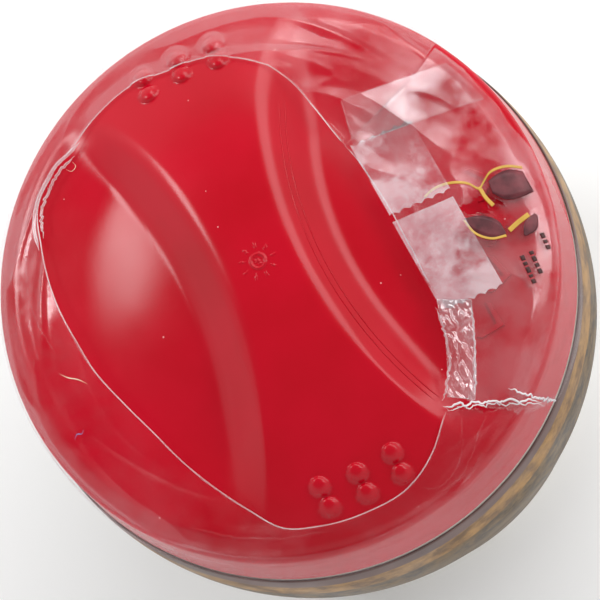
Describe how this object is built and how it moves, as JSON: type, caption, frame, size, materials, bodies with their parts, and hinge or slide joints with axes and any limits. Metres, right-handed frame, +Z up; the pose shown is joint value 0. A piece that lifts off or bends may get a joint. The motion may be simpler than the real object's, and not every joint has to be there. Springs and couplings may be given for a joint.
{
  "type": "lidded food cup",
  "caption": "Round tapered food tub with a domed push-fit lid and grip ridge, a foil seal, a spoon under the lid, a printed sleeve and a torn, taped shrink film.",
  "frame": {"origin": "centre of the foot, on the surface that the tub stands on", "axes": "+Z up through the lid's crown, Y along the lid's grip ridge, +X towards the recess with the raised chevrons"},
  "size_m": [0.1168, 0.1168, 0.1218],
  "materials": {
    "tub_plastic": "semi-matt moulded polypropylene",
    "printed_film": "printed, heat-shrunk film, tan band above mottled grey-brown",
    "foil": "satin, heat-sealed, finely wrinkled",
    "spoon_plastic": "semi-gloss moulded",
    "lid_plastic": "glossy moulded red",
    "clear_film": "clear, glossy, wrinkled shrink film",
    "clear_tape": "clear, glossy tape",
    "frosted_tape": "frosted, matt tape"
  },
  "bodies": {
    "tub": {"tub": "tub_plastic", "body_sleeve": "printed_film"},
    "foil": {"foil_seal": "foil"},
    "spoon": {"spoon": "spoon_plastic"},
    "lid": {"lid_shell": "lid_plastic", "lid_film": "clear_film", "film_flap": "clear_film", "loose_film_strip": "clear_film", "clear_tape": "clear_tape", "frosted_tape_upper": "frosted_tape", "frosted_tape_lower": "frosted_tape"}
  },
  "joints": [
    {"name": "foil_lift", "type": "slide", "parent": "tub", "child": "foil", "axis": [0, 0, 1], "range_m": [0, 0.04]},
    {"name": "spoon_lift", "type": "slide", "parent": "foil", "child": "spoon", "axis": [0, 0, 1], "range_m": [0, 0.05]},
    {"name": "lid_lift", "type": "slide", "parent": "spoon", "child": "lid", "axis": [0, 0, 1], "range_m": [0, 0.06]}
  ]
}
